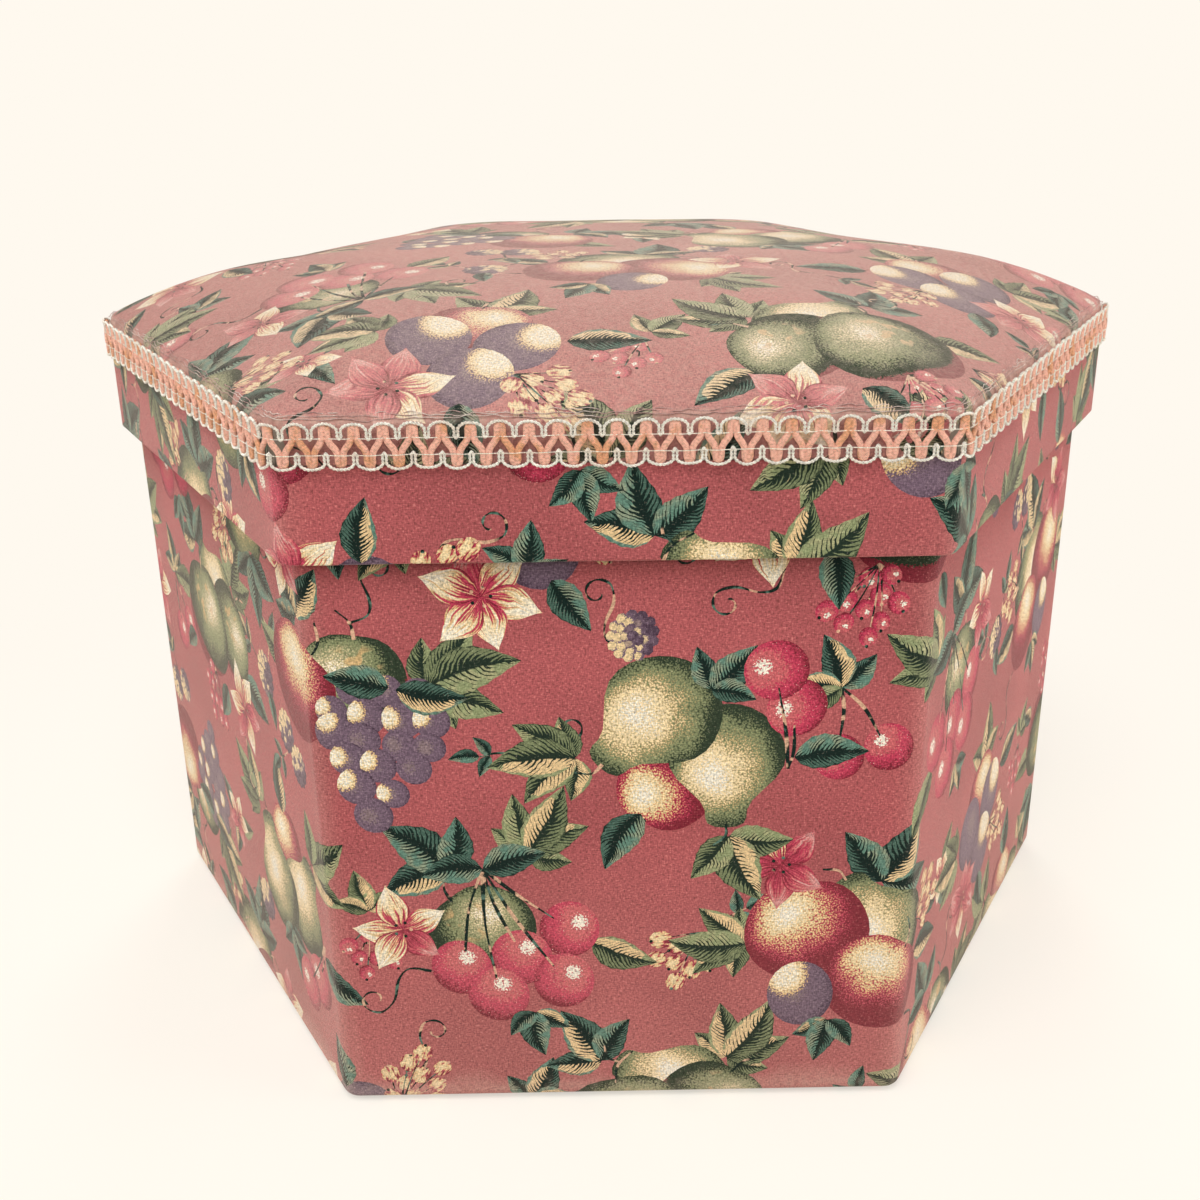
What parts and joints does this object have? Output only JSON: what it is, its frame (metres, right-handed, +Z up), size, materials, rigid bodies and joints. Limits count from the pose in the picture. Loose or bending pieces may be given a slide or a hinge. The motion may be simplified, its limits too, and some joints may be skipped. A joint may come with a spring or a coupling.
{
  "type": "sewing box",
  "caption": "Six-sided cloth-covered sewing box with a padded lift-off lid, a gimp-trimmed rim and a lift-out divided tray.",
  "frame": {"origin": "middle of the flat underside, on the surface that the box stands on", "axes": "+Z up; a flat side and its lower edge face -Y, and two of the six corners lie on the X axis"},
  "size_m": [0.3496, 0.3048, 0.239],
  "materials": {
    "printed_cotton": "matte",
    "grey_board": "matte",
    "lining_cotton": "matte",
    "pad_foam": "matte",
    "gimp_cord": "matte",
    "satin_ribbon": "satin"
  },
  "bodies": {
    "box": {"base_cover": "lining_cotton", "base_board": "grey_board", "wall_board_1": "grey_board", "wall_board_2": "grey_board", "wall_board_3": "grey_board", "wall_board_4": "grey_board", "wall_board_5": "grey_board", "wall_board_6": "grey_board", "body_cover": "printed_cotton", "base_lining_card": "lining_cotton", "wall_lining_card_1": "lining_cotton", "wall_lining_card_2": "lining_cotton", "wall_lining_card_3": "lining_cotton", "wall_lining_card_4": "lining_cotton", "wall_lining_card_5": "lining_cotton", "wall_lining_card_6": "lining_cotton"},
    "lid": {"lid_board": "grey_board", "lid_rim_board_1": "grey_board", "lid_rim_board_2": "grey_board", "lid_rim_board_3": "grey_board", "lid_rim_board_4": "grey_board", "lid_rim_board_5": "grey_board", "lid_rim_board_6": "grey_board", "lid_foam_pad": "pad_foam", "lid_top_cover": "printed_cotton", "lid_rim_cover": "printed_cotton", "gimp_braid": "gimp_cord", "lid_lining_card": "lining_cotton", "lid_rim_lining": "lining_cotton"},
    "tray": {"tray_floor": "lining_cotton", "tray_wall_1": "printed_cotton", "tray_wall_2": "printed_cotton", "tray_wall_3": "printed_cotton", "tray_wall_4": "printed_cotton", "tray_wall_5": "printed_cotton", "tray_wall_6": "printed_cotton", "tray_divider_1": "lining_cotton", "tray_divider_2": "lining_cotton", "tray_divider_3": "lining_cotton", "tray_pull_tab_1": "satin_ribbon", "tray_pull_tab_2": "satin_ribbon"}
  },
  "joints": [
    {"name": "lid_lift", "type": "slide", "parent": "box", "child": "lid", "axis": [0, 0, 1], "range_m": [0, 0.3]},
    {"name": "tray_lift", "type": "slide", "parent": "box", "child": "tray", "axis": [0, 0, 1], "range_m": [0, 0.12]}
  ],
  "couplings": [
    {"joint": "tray_lift", "follows": "lid_lift", "ratio": 0.4}
  ]
}
